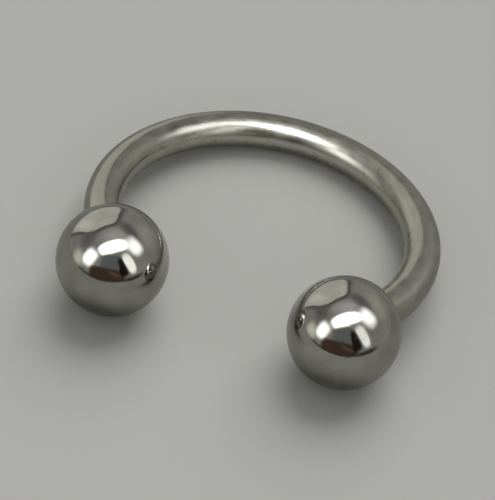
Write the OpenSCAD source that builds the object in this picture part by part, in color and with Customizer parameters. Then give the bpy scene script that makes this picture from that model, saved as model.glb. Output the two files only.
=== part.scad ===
// Horseshoe-shaped septum ring: a curved round wire with a ball screwed on to each end.
// It lies as it would by itself, on both balls and on the back of the wire.
// The gap faces the front, -Y. The origin is under the middle of the ring's box, on the surface.

/* [Wire] */
// Thickness of the round wire
wire_d = 1.6; // [1.5:0.1:2]
// Clear width across the inside of the curve
inner_d = 12.4; // [11:0.1:14]
// Angle at the ring's centre from the middle of the gap to where the curve ends
gap_half_angle = 61.7; // [56:0.1:68]
// Straight stretch at each end of the curve, up to the shoulder
straight_run = 0.27; // [0.2:0.01:0.5]
// Bevel round the shoulder
shoulder_bevel = 0.08; // [0.02:0.01:0.1]

/* [Posts] */
// Thickness of the reduced post at each end of the wire, over its thread
post_d = 1.2; // [1:0.05:1.3]
// Length of the post past the shoulder
post_l = 2.4; // [2:0.1:2.6]
// Bevel that leads the post into the ball
post_bevel = 0.15; // [0.05:0.01:0.25]

/* [Balls] */
// Diameter of each ball
ball_d = 4.76; // [4:0.01:6]
// Depth of the socket that takes the full thickness of the wire, from the socket's rim
socket_depth = 0.25; // [0.1:0.05:0.4]
// Depth of the bore past the floor of the socket, up to the drill's point
bore_depth = 2.6; // [2.5:0.1:3]
// Full angle of the point that the drill leaves at the end of the bore
drill_angle = 118; // [90:1:140]

/* [Fits] */
// Gap all round the wire in its socket
socket_clear = 0.03; // [0.01:0.01:0.1]
// Gap all round the post in its bore
post_clear = 0.02; // [0.01:0.01:0.1]
// Gap between the shoulder and the floor of the socket
seat_clear = 0.02; // [0.01:0.01:0.1]

/* [Hidden] */
$fn = 96;

wire_r = wire_d / 2;
post_r = post_d / 2;
ball_r = ball_d / 2;
curve_r = inner_d / 2 + wire_r;

// Places along the axis of each end, measured from where the curve stops
post_end = straight_run + post_l;
socket_r = wire_r + socket_clear;
socket_floor = straight_run + seat_clear;
bore_r = post_r + post_clear;
bore_end = socket_floor + bore_depth;
drill_end = bore_end + bore_r / tan(drill_angle / 2);
// The ball's skin cuts the socket's wall at the rim, which sets the middle of the ball
ball_middle = socket_floor - socket_depth + sqrt(ball_r ^ 2 - socket_r ^ 2);
outside_ball = ball_middle - ball_d;

// How far the middle of each ball lies towards the gap, in the plane of the ring
ball_forward = curve_r * cos(gap_half_angle) + ball_middle * sin(gap_half_angle);

// The balls are thicker than the wire, so the ring slopes down to its back
rest_tilt = asin((ball_r - wire_r) / (ball_forward + curve_r));
rest_height = ball_r - ball_forward * sin(rest_tilt);
// The box reaches from the front of the balls to the back of the wire, and is centred
rest_shift = ((ball_forward - curve_r) * cos(rest_tilt) + ball_r - wire_r) / 2;

// Lays the flat ring down as it rests
module lie_down()
    translate([0, rest_shift, rest_height]) rotate([-rest_tilt, 0, 0]) children();

// Stands a piece on one end of the curve, its +Z pointing out of that end
module on_end(side)
    mirror([side < 0 ? 1 : 0, 0, 0]) rotate([0, 0, gap_half_angle - 90])
        translate([curve_r, 0, 0]) rotate([90, 0, 0]) children();

// The long round curve of the wire, open at the front
module curve()
    rotate([0, 0, gap_half_angle - 90]) rotate_extrude(angle = 360 - 2 * gap_half_angle)
        translate([curve_r, 0]) circle(r = wire_r);

// The straight end of the wire, turned down to a shoulder and a post
module turned_end()
    rotate_extrude() polygon([
        [0, 0],
        [wire_r, 0],
        [wire_r, straight_run - shoulder_bevel],
        [wire_r - shoulder_bevel, straight_run],
        [post_r, straight_run],
        [post_r, post_end - post_bevel],
        [post_r - post_bevel, post_end],
        [0, post_end]
    ]);

// The socket and the blind bore that are cut into a ball
module socket_and_bore()
    rotate_extrude() polygon([
        [0, outside_ball],
        [socket_r, outside_ball],
        [socket_r, socket_floor],
        [bore_r, socket_floor],
        [bore_r, bore_end],
        [0, drill_end]
    ]);

module screw_ball(side)
    lie_down() on_end(side) difference() {
        translate([0, 0, ball_middle]) sphere(r = ball_r);
        socket_and_bore();
    }

module bar()
    color("#8f8d84") lie_down() {
        curve();
        for (side = [-1, 1]) on_end(side) turned_end();
    }

module ball_left()
    color("#a3a19a") screw_ball(-1);

module ball_right()
    color("#a3a19a") screw_ball(1);

bar();
ball_left();
ball_right();
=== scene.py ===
"""A horseshoe-shaped septum ring of polished surgical steel, lying on a pale floor.

The wire is one bent piece whose turned and threaded ends go into two screw-on balls.
Shapes are worked out in millimetres, flat, and are laid down and turned to metres at the end.
"""
import math

import bmesh
import bpy
from mathutils import Matrix, Quaternion, Vector


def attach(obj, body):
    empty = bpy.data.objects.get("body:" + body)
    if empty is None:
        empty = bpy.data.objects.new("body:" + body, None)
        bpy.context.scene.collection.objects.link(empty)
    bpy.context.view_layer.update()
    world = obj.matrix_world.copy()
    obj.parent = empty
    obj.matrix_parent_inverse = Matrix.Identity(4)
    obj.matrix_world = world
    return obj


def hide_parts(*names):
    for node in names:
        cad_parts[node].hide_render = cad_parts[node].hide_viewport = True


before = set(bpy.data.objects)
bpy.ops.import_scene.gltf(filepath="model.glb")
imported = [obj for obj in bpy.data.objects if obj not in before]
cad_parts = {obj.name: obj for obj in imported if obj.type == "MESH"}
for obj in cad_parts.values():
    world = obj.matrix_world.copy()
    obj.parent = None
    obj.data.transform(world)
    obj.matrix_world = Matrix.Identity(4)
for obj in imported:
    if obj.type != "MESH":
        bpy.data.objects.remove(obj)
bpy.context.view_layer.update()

MM = 0.001

# The wire, in millimetres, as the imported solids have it: a round curve with a straight run and a
# post at each end
WIRE_R = 0.8
CURVE_R = 7.0
GAP_HALF_ANGLE = math.radians(61.7)
HALF_CURVE = CURVE_R * (math.pi - GAP_HALF_ANGLE)
STRAIGHT_RUN = 0.27
SHOULDER_BEVEL = 0.08
POST_R = 0.6
POST_L = 2.4
POST_BEVEL = 0.15

# The balls, with the heights of the socket's floor and the bore's end over the end of the curve
BALL_R = 2.38
SOCKET_R = 0.83
SOCKET_FLOOR = 0.29
SOCKET_DEPTH = 0.25
SOCKET_EASE = 0.035
BORE_R = 0.62
BORE_END = 2.89
BORE_EASE = 0.06
DRILL_HALF_ANGLE = math.radians(59)

# The thread is M1.2 by 0.25: its crests lie on the radius of the post and of the bore. Crest and root
# are shares of the pitch, and the flanks take the rest
PITCH = 0.25
THREAD_DEPTH = 0.125
BORE_THREAD_DEPTH = 0.07
THREAD_CREST = 0.1
THREAD_ROOT = 0.2
THREAD_NECK = 0.14
THREAD_FADE = 0.18

# How finely the round shapes are divided, which edges stay sharp, and how near two points are one
WIRE_SIDES = 64
CURVE_STEPS = 320
BALL_SIDES = 144
BALL_ROWS = 96
ROWS_IN_A_PITCH = 10
SHARP_ANGLE = math.radians(38)
SAME_PLACE = 0.001

# How the ring lies: on both balls and on the back of the wire
BALL_MIDDLE = SOCKET_FLOOR - SOCKET_DEPTH + math.sqrt(BALL_R ** 2 - SOCKET_R ** 2)
BALL_FORWARD = CURVE_R * math.cos(GAP_HALF_ANGLE) + BALL_MIDDLE * math.sin(GAP_HALF_ANGLE)
REST_TILT = math.asin((BALL_R - WIRE_R) / (BALL_FORWARD + CURVE_R))
REST_HEIGHT = BALL_R - BALL_FORWARD * math.sin(REST_TILT)
REST_SHIFT = ((BALL_FORWARD - CURVE_R) * math.cos(REST_TILT) + BALL_R - WIRE_R) / 2
LIE_DOWN = Matrix.Translation((0, REST_SHIFT, REST_HEIGHT)) @ Matrix.Rotation(-REST_TILT, 4, "X")


# Shapes

def end_place(side):
    """Where an end of the flat curve is: its +Z points out of the wire, its +X away from the middle."""
    turn = Matrix.Rotation(side * GAP_HALF_ANGLE - math.pi / 2, 4, "Z")
    return turn @ Matrix.Translation((CURVE_R, 0, 0)) @ Matrix.Rotation(side * math.pi / 2, 4, "X")


def turned_on_axis(bm, outline, sides):
    """Spins an outline of (radius, height) points round Z, and closes it where it meets the axis."""
    verts = [bm.verts.new((radius, 0, height)) for radius, height in outline]
    edges = [bm.edges.new(pair) for pair in zip(verts, verts[1:])]
    bmesh.ops.spin(bm, geom=verts + edges, cent=(0, 0, 0), axis=(0, 0, 1),
                   angle=2 * math.pi, steps=sides, use_merge=True)
    bmesh.ops.remove_doubles(bm, verts=bm.verts, dist=SAME_PLACE)


def rows_between(start, end):
    """Heights between two places, close enough together to carry the thread."""
    count = math.ceil((end - start) / PITCH * ROWS_IN_A_PITCH)
    return [start + (end - start) * row / count for row in range(1, count)]


def smooth_step(value):
    """Rises from 0 to 1 with a soft start and a soft end."""
    value = min(max(value, 0.0), 1.0)
    return value * value * (3 - 2 * value)


def cut_thread(bm, radius, start, end, depth):
    """Moves the skin at one radius along a right-handed helix: inwards for a post, outwards for a bore."""
    flanks = 1 - THREAD_CREST - THREAD_ROOT
    for vert in bm.verts:
        x, y, height = vert.co
        if not start < height < end or abs(math.hypot(x, y) - radius) > SAME_PLACE:
            continue
        phase = (height / PITCH - math.atan2(y, x) / (2 * math.pi)) % 1.0
        groove = min(max((1 - THREAD_CREST - abs(2 * phase - 1)) / flanks, 0.0), 1.0)
        fade = smooth_step((height - start) / THREAD_FADE) * smooth_step((end - height) / THREAD_FADE)
        new_radius = radius + depth * groove * fade
        vert.co = (x * new_radius / radius, y * new_radius / radius, height)


def edges_at(bm, radius, height):
    """The ring of edges that lies at one radius and one height."""
    def there(vert):
        off_radius = math.hypot(vert.co.x, vert.co.y) - radius
        return math.hypot(off_radius, vert.co.z - height) < SAME_PLACE
    return [edge for edge in bm.edges if all(there(vert) for vert in edge.verts)]


def ease(bm, radius, height, size, segments):
    """Bevels one turned edge."""
    bmesh.ops.bevel(bm, geom=edges_at(bm, radius, height), offset=size, offset_type="OFFSET",
                    affect="EDGES", segments=segments, profile=0.5, material=-1)


def threaded_end():
    """One straight end of the wire: shoulder, neck, threaded post and its tip. Open at height 0."""
    bm = bmesh.new()
    neck_end = STRAIGHT_RUN + THREAD_NECK
    post_end = STRAIGHT_RUN + POST_L
    thread_end = post_end - POST_BEVEL
    outline = [(WIRE_R, 0), (WIRE_R, STRAIGHT_RUN), (POST_R, STRAIGHT_RUN), (POST_R, neck_end)]
    outline += [(POST_R, height) for height in rows_between(neck_end, thread_end)]
    outline += [(POST_R, thread_end), (POST_R - POST_BEVEL, post_end), (0, post_end)]
    turned_on_axis(bm, outline, WIRE_SIDES)
    ease(bm, WIRE_R, STRAIGHT_RUN, SHOULDER_BEVEL, segments=3)
    cut_thread(bm, POST_R, STRAIGHT_RUN, post_end, -THREAD_DEPTH)
    for face in bm.faces:
        face.material_index = int(face.calc_center_median().z > STRAIGHT_RUN - SHOULDER_BEVEL)
    return bm


def add_to(bm, other, matrix):
    """Adds another shape to this one at a place."""
    other.transform(matrix)
    mesh = bpy.data.meshes.new("part_of_a_piece")
    other.to_mesh(mesh)
    other.free()
    bm.from_mesh(mesh)
    bpy.data.meshes.remove(mesh)


# The attribute in which each point of the wire keeps its place on the straight wire
STRAIGHT_WIRE = "straight_wire"


def straightened(point):
    """A point of the flat bent wire, where it was in the straight wire: along it, out of it and up."""
    for side in (-1, 1):
        local = end_place(side).inverted() @ point
        if local.z > 0 and math.hypot(local.x, local.y) < CURVE_R / 2:
            return Vector((side * (HALF_CURVE + local.z), local.x, side * local.y))
    along = CURVE_R * math.atan2(point.x, point.y)
    return Vector((along, math.hypot(point.x, point.y) - CURVE_R, point.z))


def wire_shape():
    """The whole bent wire, flat, from one threaded tip to the other."""
    bm = bmesh.new()
    ring = bmesh.ops.create_circle(bm, cap_ends=False, segments=WIRE_SIDES, radius=WIRE_R)
    bmesh.ops.transform(bm, matrix=end_place(1), verts=ring["verts"])
    bmesh.ops.spin(bm, geom=ring["verts"] + bm.edges[:], cent=(0, 0, 0), axis=(0, 0, 1),
                   angle=2 * HALF_CURVE / CURVE_R, steps=CURVE_STEPS, use_merge=False)
    for side in (-1, 1):
        add_to(bm, threaded_end(), end_place(side))
    bmesh.ops.remove_doubles(bm, verts=bm.verts, dist=SAME_PLACE)
    straight_wire = bm.verts.layers.float_vector.new(STRAIGHT_WIRE)
    for vert in bm.verts:
        vert[straight_wire] = straightened(vert.co)
    return bm


def ball_shape(side):
    """A ball with its socket and threaded bore, at one end of the flat curve."""
    bm = bmesh.new()
    rim_height = SOCKET_FLOOR - SOCKET_DEPTH
    rim_angle = math.asin(SOCKET_R / BALL_R)
    outline = [(0, BALL_MIDDLE + BALL_R)]
    for row in range(1, BALL_ROWS + 1):
        angle = math.pi - (math.pi - rim_angle) * row / BALL_ROWS
        outline.append((BALL_R * math.sin(angle), BALL_MIDDLE - BALL_R * math.cos(angle)))
    outline += [(SOCKET_R, SOCKET_FLOOR), (BORE_R, SOCKET_FLOOR)]
    outline += [(BORE_R, height) for height in rows_between(SOCKET_FLOOR, BORE_END)]
    outline += [(BORE_R, BORE_END), (0, BORE_END + BORE_R / math.tan(DRILL_HALF_ANGLE))]
    turned_on_axis(bm, outline, BALL_SIDES)
    for face in bm.faces:
        from_middle = math.dist(face.calc_center_median(), (0, 0, BALL_MIDDLE))
        face.material_index = int(from_middle < BALL_R - SOCKET_EASE)
    ease(bm, SOCKET_R, rim_height, SOCKET_EASE, segments=3)
    ease(bm, BORE_R, SOCKET_FLOOR, BORE_EASE, segments=2)
    cut_thread(bm, BORE_R, SOCKET_FLOOR, BORE_END, BORE_THREAD_DEPTH)
    bm.transform(end_place(side))
    return bm


def finished_piece(name, bm, body, node, materials):
    """Lays a flat shape down, turns it to metres and makes it the piece that stands for a node."""
    bm.transform(Matrix.Scale(MM, 4) @ LIE_DOWN)
    bmesh.ops.recalc_face_normals(bm, faces=bm.faces)
    mesh = bpy.data.meshes.new(name)
    bm.to_mesh(mesh)
    bm.free()
    for material in materials:
        mesh.materials.append(material)
    mesh.shade_smooth()
    mesh.set_sharp_from_angle(angle=SHARP_ANGLE)
    piece = bpy.data.objects.new(name, mesh)
    bpy.context.scene.collection.objects.link(piece)
    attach(piece, body)
    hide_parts(node)


# Finishes

# The sockets of a Mix node that take and give colours: those for numbers bear the same names
MIX_FROM = 6
MIX_TO = 7
MIXED = 2


def linear(hex_colour):
    """An sRGB hex colour as the linear colour that a shader takes."""
    parts = [int(hex_colour[i:i + 2], 16) / 255 for i in (1, 3, 5)]
    return tuple(c / 12.92 if c <= 0.04045 else ((c + 0.055) / 1.055) ** 2.4 for c in parts) + (1.0,)


def add_node(tree, kind, inputs, **settings):
    """Adds a node, with its settings and with a value or a link for each input."""
    node = tree.nodes.new(kind)
    for name, value in settings.items():
        setattr(node, name, value)
    for socket, value in inputs.items():
        if isinstance(value, bpy.types.NodeSocket):
            tree.links.new(value, node.inputs[socket])
        else:
            node.inputs[socket].default_value = value
    return node


def new_material(name):
    """An empty material, its tree and its output."""
    material = bpy.data.materials.new(name)
    material.use_nodes = True
    tree = material.node_tree
    tree.nodes.clear()
    return material, tree, tree.nodes.new("ShaderNodeOutputMaterial")


def place_in_mm(tree):
    """The place on a piece, in millimetres."""
    place = add_node(tree, "ShaderNodeTexCoord", {}).outputs["Object"]
    return add_node(tree, "ShaderNodeMapping", {"Vector": place, "Scale": (1 / MM,) * 3}).outputs[0]


def mirror_polished_steel():
    """316L steel, turned and buffed to a mirror: clean reflections with a slight wave and faint films."""
    material, tree, output = new_material("mirror_polished_surgical_steel")
    in_mm = place_in_mm(tree)
    # The buffing wheel leaves the ball a few microns out of round, in waves about 2 mm long
    wave = add_node(tree, "ShaderNodeTexNoise", {"Vector": in_mm, "Scale": 0.5, "Detail": 2.5})
    # Handling leaves films about 1 mm across, which soften the mirror and darken it a little
    film = add_node(tree, "ShaderNodeTexNoise", {"Vector": in_mm, "Scale": 1.1, "Detail": 4.0})
    # Wipe marks, drawn 0.07 mm wide and 1.2 mm long, coarser than the real ones, so that they show
    turned = add_node(tree, "ShaderNodeMapping", {
        "Vector": in_mm, "Rotation": (0.5, 0.3, 0.9), "Scale": (0.5, 9.0, 9.0)}).outputs[0]
    wipe = add_node(tree, "ShaderNodeTexNoise", {"Vector": turned, "Scale": 1.6, "Detail": 3.0})
    wipe_lines = add_node(tree, "ShaderNodeMapRange", {
        "Value": wipe.outputs[0], "From Min": 0.62, "From Max": 0.74}).outputs[0]
    roughness = add_node(tree, "ShaderNodeMapRange", {
        "Value": film.outputs[0], "From Min": 0.35, "From Max": 0.7, "To Min": 0.055, "To Max": 0.11})
    marked = add_node(tree, "ShaderNodeMath", {
        0: wipe_lines, 1: 0.05, 2: roughness.outputs[0]}, operation="MULTIPLY_ADD")
    smudged = add_node(tree, "ShaderNodeMapRange", {
        "Value": film.outputs[0], "From Min": 0.35, "From Max": 0.65})
    colour = add_node(tree, "ShaderNodeMix", {
        0: smudged.outputs[0], MIX_FROM: linear("#B4B3AB"), MIX_TO: linear("#A2A199")}, data_type="RGBA")
    waves = add_node(tree, "ShaderNodeBump", {
        "Height": wave.outputs[0], "Strength": 1.0, "Distance": 0.022 * MM})
    marks = add_node(tree, "ShaderNodeBump", {
        "Height": wipe_lines, "Strength": 0.5, "Distance": 0.0008 * MM, "Normal": waves.outputs[0]})
    steel = add_node(tree, "ShaderNodeBsdfPrincipled", {
        "Base Color": colour.outputs[MIXED], "Metallic": 1.0, "Roughness": marked.outputs[0],
        "Normal": marks.outputs[0]})
    tree.links.new(steel.outputs[0], output.inputs["Surface"])
    return material


def tumbled_drawn_wire():
    """316L wire, drawn, bent and tumbled: a soft polish with lines along it, shallow waves and scuffs."""
    material, tree, output = new_material("tumbled_drawn_steel_wire")
    # The place on the wire while it was straight, in millimetres, with 0 at the middle of its back
    along = add_node(tree, "ShaderNodeAttribute", {}, attribute_name=STRAIGHT_WIRE).outputs["Vector"]
    # The die's lines along the wire are made 0.2 mm apart and some 8 mm long, coarse enough to show
    drawn = add_node(tree, "ShaderNodeMapping", {"Vector": along, "Scale": (0.12, 5.0, 5.0)}).outputs[0]
    lines = add_node(tree, "ShaderNodeTexNoise", {"Vector": drawn, "Scale": 1.0, "Detail": 4.0})
    # Bending and tumbling leave shallow waves about 2 mm long
    stretched = add_node(tree, "ShaderNodeMapping", {"Vector": along, "Scale": (0.45, 0.7, 0.7)})
    wave = add_node(tree, "ShaderNodeTexNoise", {
        "Vector": stretched.outputs[0], "Scale": 1.0, "Detail": 2.5})
    # The bending tool leaves scuffs, 0.4 mm wide and twice as long, more on the legs than at the back
    rubbed = add_node(tree, "ShaderNodeMapping", {"Vector": along, "Scale": (1.2, 2.4, 2.4)})
    scuffs = add_node(tree, "ShaderNodeTexNoise", {
        "Vector": rubbed.outputs[0], "Scale": 1.0, "Detail": 1.5})
    from_back = add_node(tree, "ShaderNodeSeparateXYZ", {0: along})
    on_leg = add_node(tree, "ShaderNodeMath", {0: from_back.outputs["X"]}, operation="ABSOLUTE")
    pressed = add_node(tree, "ShaderNodeMapRange", {
        "Value": on_leg.outputs[0], "From Min": 1.5, "From Max": 7.0, "To Min": 0.3, "To Max": 1.0})
    scuff_height = add_node(tree, "ShaderNodeMath", {
        0: scuffs.outputs[0], 1: pressed.outputs[0]}, operation="MULTIPLY")
    # The tumbling media leave a fine peened grain, about 0.17 mm
    grain = add_node(tree, "ShaderNodeTexNoise", {"Vector": along, "Scale": 6.0, "Detail": 2.0})
    # The back and the right leg are rubbed duller than the left leg
    worn = add_node(tree, "ShaderNodeMapRange", {
        "Value": from_back.outputs["X"], "From Min": -11.0, "From Max": -4.0,
        "To Min": 0.05, "To Max": 0.12})
    dulled = add_node(tree, "ShaderNodeMath", {
        0: scuffs.outputs[0], 1: 0.22, 2: worn.outputs[0]}, operation="MULTIPLY_ADD")
    roughness = add_node(tree, "ShaderNodeMath", {
        0: lines.outputs[0], 1: 0.12, 2: dulled.outputs[0]}, operation="MULTIPLY_ADD")
    colour = add_node(tree, "ShaderNodeMix", {
        0: scuffs.outputs[0], MIX_FROM: linear("#96958A"), MIX_TO: linear("#B0AFA5")}, data_type="RGBA")
    # Each pattern's depth in millimetres, one laid over the other, from the widest to the finest
    relief = {}
    for pattern, depth in ((wave, 0.028), (scuff_height, 0.014), (lines, 0.006), (grain, 0.001)):
        bump = add_node(tree, "ShaderNodeBump", {
            "Height": pattern.outputs[0], "Strength": 1.0, "Distance": depth * MM, **relief})
        relief = {"Normal": bump.outputs[0]}
    steel = add_node(tree, "ShaderNodeBsdfPrincipled", {
        "Base Color": colour.outputs[MIXED], "Metallic": 1.0, "Roughness": roughness.outputs[0],
        **relief})
    tree.links.new(steel.outputs[0], output.inputs["Surface"])
    return material


def cut_steel():
    """316L as the lathe leaves it, inside the balls and on the posts: satin, a little darker, with oil."""
    material, tree, output = new_material("machined_surgical_steel")
    # Tool marks and traces of oil, about 0.1 mm
    marks = add_node(tree, "ShaderNodeTexNoise", {
        "Vector": place_in_mm(tree), "Scale": 9.0, "Detail": 3.0})
    roughness = add_node(tree, "ShaderNodeMapRange", {
        "Value": marks.outputs[0], "From Min": 0.3, "From Max": 0.7, "To Min": 0.24, "To Max": 0.4})
    colour = add_node(tree, "ShaderNodeMix", {
        0: marks.outputs[0], MIX_FROM: linear("#8F8C84"), MIX_TO: linear("#B3B0A8")}, data_type="RGBA")
    bump = add_node(tree, "ShaderNodeBump", {
        "Height": marks.outputs[0], "Strength": 1.0, "Distance": 0.004 * MM})
    steel = add_node(tree, "ShaderNodeBsdfPrincipled", {
        "Base Color": colour.outputs[MIXED], "Metallic": 1.0, "Roughness": roughness.outputs[0],
        "Normal": bump.outputs[0]})
    tree.links.new(steel.outputs[0], output.inputs["Surface"])
    return material


# Studio

def direction(azimuth, elevation):
    """The way to a place seen from the ring: azimuth 0 is the front, 90 the right."""
    a, e = math.radians(azimuth), math.radians(elevation)
    return Vector((math.sin(a) * math.cos(e), -math.cos(a) * math.cos(e), math.sin(e)))


# Which rays a piece of the studio is hidden from
ONLY_REFLECTED = ("camera", "diffuse", "shadow")
ONLY_SEEN = ("diffuse", "glossy", "shadow")


def studio_piece(name, bm, material, place=Matrix.Identity(4), hidden_from=()):
    """Makes a piece of the studio from a shape and puts it in its place."""
    mesh = bpy.data.meshes.new(name)
    bm.to_mesh(mesh)
    bm.free()
    mesh.materials.append(material)
    obj = bpy.data.objects.new(name, mesh)
    obj.matrix_world = place
    for ray in hidden_from:
        setattr(obj, "visible_" + ray, False)
    bpy.context.scene.collection.objects.link(obj)


# The cards that the steel reflects, from the farthest to the nearest: their distance in millimetres,
# the azimuth and elevation of their middle, their half width and half height as angles, and how far
# they are turned, all in degrees; how much they widen upwards, how square their corners are, how soft
# their edges are, and their brightness and colour. The back card and its rim face the same way, and
# so do the ceiling panel and its lamp, so that one lies behind the other all over
CARD_COLUMNS = ("name", "distance", "azimuth", "elevation", "half_w", "half_h", "turn",
                "taper", "corner", "soft", "glow", "colour")
CARDS = (
    ("ceiling_glow", 300, -156, 83, 40, 24, 0, 0, 2.0, 0.9, 0.7, "#F4EEF2"),
    ("left_dark_card", 298, -84, 40, 26, 22, 0, 0, 2.5, 0.9, 0.2, "#F4EEF0"),
    ("back_dark_card", 296, 155, 56, 34, 17, 0, 0, 2.5, 0.8, 0.22, "#F4EEF0"),
    ("right_haze", 294, 140, 26, 30, 24, 0, 0, 2.5, 0.9, 0.55, "#F6F6EE"),
    ("ceiling_panel", 290, 8, 72.5, 32.5, 14.5, -30, 0.05, 4.0, 0.35, 4.5, "#FDFCFF"),
    ("panel_lamp", 288, 8, 72.5, 23, 8, -30, 0.05, 3.0, 0.6, 24.0, "#FDFCFF"),
    ("left_haze", 275, -60, 12, 20, 16, 0, 0, 2.5, 0.8, 0.95, "#FFFEF4"),
    ("left_panel", 270, -42, 30, 17, 21, -4, 0.1, 3.0, 0.85, 4.5, "#FBFBFF"),
    ("front_dark_band", 268, -26, 1, 62, 5, 0, 0, 4.0, 0.8, 0.15, "#D0CCC8"),
    ("back_card_rim", 264, -134, 23, 38, 45, 11, -0.14, 4.5, 0.3, 0.16, "#E6E2E0"),
    ("back_card", 260, -134, 23, 30, 34.5, 11, -0.14, 4.5, 0.12, 0.78, "#F5F2EC"),
    ("back_card_lit_end", 255, -118, 20, 15, 28, 0, 0, 2.5, 0.9, 0.95, "#F8F6F2"),
    ("right_panel", 240, 99, 52, 20, 24, 10, 0.2, 3.0, 0.8, 3.0, "#FBFBFF"),
    ("right_strip", 165, 57, 34, 11, 26, -12, 0.1, 3.0, 0.45, 2.0, "#FCFCFC"),
    ("right_dark_band", 160, 56, 1, 30, 10, 0, 0, 4.0, 0.7, 0.08, "#D0CCC8"),
    ("cool_dark_card", 158, 12, 40, 27, 21, -6, -0.15, 3.0, 0.4, 0.4, "#B4BABB"),
    ("warm_dark_card", 151, 6, 13, 38, 16, 0, 0, 4.0, 0.25, 0.22, "#A48678"),
    ("warm_card", 148, 20, 17, 20, 5, 25, 0, 2.5, 0.8, 0.34, "#B49C84"),
    ("black_card", 145, 38, 30, 9, 24, -10, -0.4, 4.0, 0.4, 0.08, "#907060"),
)


def card_material(card):
    """A plain glow that fades out at the card's edge, for a card that reaches from -1 to 1."""
    material, tree, output = new_material(card["name"])
    place = add_node(tree, "ShaderNodeTexCoord", {}).outputs["Object"]
    across = add_node(tree, "ShaderNodeSeparateXYZ", {0: place})
    width = add_node(tree, "ShaderNodeMath", {
        0: across.outputs["Y"], 1: card["taper"], 2: 1.0}, operation="MULTIPLY_ADD")
    sideways = add_node(tree, "ShaderNodeMath", {
        0: across.outputs["X"], 1: width.outputs[0]}, operation="DIVIDE")
    # How far out a point is, from 0 in the middle to 1 on the outline: a higher power squares its corners
    powers = []
    for reach in (sideways.outputs[0], across.outputs["Y"]):
        size = add_node(tree, "ShaderNodeMath", {0: reach}, operation="ABSOLUTE")
        powers.append(add_node(tree, "ShaderNodeMath", {
            0: size.outputs[0], 1: card["corner"]}, operation="POWER").outputs[0])
    total = add_node(tree, "ShaderNodeMath", {0: powers[0], 1: powers[1]}, operation="ADD")
    to_edge = add_node(tree, "ShaderNodeMath", {
        0: total.outputs[0], 1: 1 / card["corner"]}, operation="POWER")
    shown = add_node(tree, "ShaderNodeMapRange", {
        "Value": to_edge.outputs[0], "From Min": 1.0 - card["soft"], "From Max": 1.0,
        "To Min": 1.0, "To Max": 0.0}, interpolation_type="SMOOTHSTEP")
    light = add_node(tree, "ShaderNodeEmission", {
        "Color": linear(card["colour"]), "Strength": card["glow"]})
    clear = add_node(tree, "ShaderNodeBsdfTransparent", {})
    mixed = add_node(tree, "ShaderNodeMixShader", {
        0: shown.outputs[0], 1: clear.outputs[0], 2: light.outputs[0]})
    tree.links.new(mixed.outputs[0], output.inputs["Surface"])
    return material


def reflected_card(card):
    """Hangs one card round the ring, seen only in reflections."""
    bm = bmesh.new()
    bmesh.ops.create_grid(bm, x_segments=1, y_segments=1, size=1.0)
    bmesh.ops.scale(bm, vec=(1 + abs(card["taper"]), 1, 1), verts=bm.verts)
    away = direction(card["azimuth"], card["elevation"])
    turn = away.to_track_quat("-Z", "Y") @ Quaternion((0, 0, 1), math.radians(card["turn"]))
    half_w = card["distance"] * math.tan(math.radians(card["half_w"]))
    half_h = card["distance"] * math.tan(math.radians(card["half_h"]))
    size = Matrix.Diagonal((half_w * MM, half_h * MM, 1, 1))
    place = Matrix.Translation(away * card["distance"] * MM) @ turn.to_matrix().to_4x4() @ size
    studio_piece(card["name"], bm, card_material(card), place, ONLY_REFLECTED)


# The floor and the wall, in metres, and how many sides their circles have
FLOOR_R = 0.9
WALL_R = 0.6
WALL_BOTTOM = -0.05
WALL_TOP = 0.8
STUDIO_SIDES = 96

# The painted shade over the floor, a grey sheet seen only in reflections, in millimetres: clear near its
# middle, and down to its shade farther out
PAINTED_SHADE_MIDDLE = (0, 3, 0.02)
PAINTED_SHADE_CLEAR_R = 3.5
PAINTED_SHADE_GREY_R = 8
PAINTED_SHADE_DEPTH = 0.66


def floor():
    """A plain pale floor of matt paper."""
    bm = bmesh.new()
    bmesh.ops.create_circle(bm, cap_ends=True, segments=STUDIO_SIDES, radius=FLOOR_R)
    material, tree, output = new_material("pale_paper")
    paper = add_node(tree, "ShaderNodeBsdfDiffuse", {"Color": linear("#CCCCCA"), "Roughness": 0.5})
    tree.links.new(paper.outputs[0], output.inputs["Surface"])
    studio_piece("floor", bm, material)


def reflected_shade():
    """A grey gel just over the floor, seen only in reflections: painted shade on the floor as the ring
    reflects it, which deepens the ring's lower half.
    """
    bm = bmesh.new()
    bmesh.ops.create_circle(bm, cap_ends=True, segments=STUDIO_SIDES, radius=FLOOR_R)
    material, tree, output = new_material("painted_reflected_shade")
    place = add_node(tree, "ShaderNodeTexCoord", {}).outputs["Object"]
    from_middle = add_node(tree, "ShaderNodeVectorMath", {0: place}, operation="LENGTH")
    shade = add_node(tree, "ShaderNodeMapRange", {
        "Value": from_middle.outputs["Value"], "From Min": PAINTED_SHADE_CLEAR_R * MM, "From Max": PAINTED_SHADE_GREY_R * MM,
        "To Min": 1.0, "To Max": PAINTED_SHADE_DEPTH}, interpolation_type="SMOOTHSTEP")
    # Painted shade: the clear sheet turns grey away from its middle, so the floor looks darker in the
    # steel than it is
    shade_sheet = add_node(tree, "ShaderNodeBsdfTransparent", {"Color": shade.outputs[0]})
    tree.links.new(shade_sheet.outputs[0], output.inputs["Surface"])
    place_over_floor = Matrix.Translation(Vector(PAINTED_SHADE_MIDDLE) * MM)
    studio_piece("reflected_shade", bm, material, place_over_floor, ONLY_REFLECTED)


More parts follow.
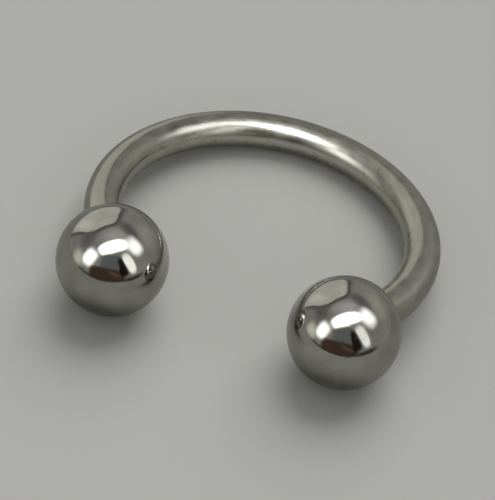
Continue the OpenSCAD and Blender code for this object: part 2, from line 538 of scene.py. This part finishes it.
def backdrop():
    """A plain pale wall far behind, seen only by the camera and only from low down."""
    bm = bmesh.new()
    ring = bmesh.ops.create_circle(bm, cap_ends=False, segments=STUDIO_SIDES, radius=WALL_R)
    walls = bmesh.ops.extrude_edge_only(bm, edges=bm.edges[:])
    tops = [vert for vert in walls["geom"] if isinstance(vert, bmesh.types.BMVert)]
    bmesh.ops.translate(bm, vec=(0, 0, WALL_TOP), verts=tops)
    bmesh.ops.translate(bm, vec=(0, 0, WALL_BOTTOM), verts=ring["verts"])
    material, tree, output = new_material("pale_wall")
    light = add_node(tree, "ShaderNodeEmission", {"Color": linear("#B6B6B4"), "Strength": 1.0})
    tree.links.new(light.outputs[0], output.inputs["Surface"])
    studio_piece("backdrop", bm, material, hidden_from=ONLY_SEEN)


# The lamp: the azimuth and elevation that it shines from, how wide it looks, and its strength
LAMP_AZIMUTH = 176
LAMP_ELEVATION = 54
LAMP_WIDTH = math.radians(56)
LAMP_STRENGTH = 1.8


def soft_light():
    """Soft light on the floor from above and behind the ring, and an even grey room."""
    lamp = bpy.data.lights.new("soft_light", "SUN")
    lamp.energy = LAMP_STRENGTH
    lamp.angle = LAMP_WIDTH
    lamp.color = linear("#FFFFFC")[:3]
    obj = bpy.data.objects.new("soft_light", lamp)
    obj.rotation_mode = "QUATERNION"
    obj.rotation_quaternion = direction(LAMP_AZIMUTH, LAMP_ELEVATION).to_track_quat("Z", "Y")
    obj.visible_glossy = False
    bpy.context.scene.collection.objects.link(obj)
    world = bpy.data.worlds.new("grey_room")
    world.use_nodes = True
    background = world.node_tree.nodes["Background"]
    background.inputs["Color"].default_value = linear("#A0A09E")
    bpy.context.scene.world = world


# The photograph's view of the ring, drawn closer: the camera stands front right and looks down. Its
# angles are in degrees, its distance, target and lens in millimetres, and its reach in metres
CAMERA_AZIMUTH = 11.0
CAMERA_ELEVATION = 45.4
CAMERA_ROLL = 9.4
CAMERA_DISTANCE = 100.8
CAMERA_TARGET = (-0.3, -1.1, 1.0)
LENS = 168
SEEN_FROM = 0.005
SEEN_TO = 5


def camera():
    """The camera at the photograph's angle and distance, with a long lens."""
    data = bpy.data.cameras.new("camera")
    data.lens = LENS
    data.clip_start = SEEN_FROM
    data.clip_end = SEEN_TO
    obj = bpy.data.objects.new("camera", data)
    away = direction(CAMERA_AZIMUTH, CAMERA_ELEVATION)
    obj.location = (Vector(CAMERA_TARGET) + away * CAMERA_DISTANCE) * MM
    obj.rotation_mode = "QUATERNION"
    roll = Quaternion((0, 0, 1), math.radians(CAMERA_ROLL))
    obj.rotation_quaternion = away.to_track_quat("Z", "Y") @ roll
    bpy.context.scene.collection.objects.link(obj)
    bpy.context.scene.camera = obj


camera()
floor()
reflected_shade()
backdrop()
soft_light()
for row in CARDS:
    reflected_card(dict(zip(CARD_COLUMNS, row)))
bpy.context.scene.view_settings.view_transform = "Standard"

machined = cut_steel()
mirror = mirror_polished_steel()
finished_piece("bent_wire", wire_shape(), body="bar", node="bar",
               materials=[tumbled_drawn_wire(), machined])
finished_piece("screw_ball_left", ball_shape(-1), body="ball_left", node="ball_left",
               materials=[mirror, machined])
finished_piece("screw_ball_right", ball_shape(1), body="ball_right", node="ball_right",
               materials=[mirror, machined])
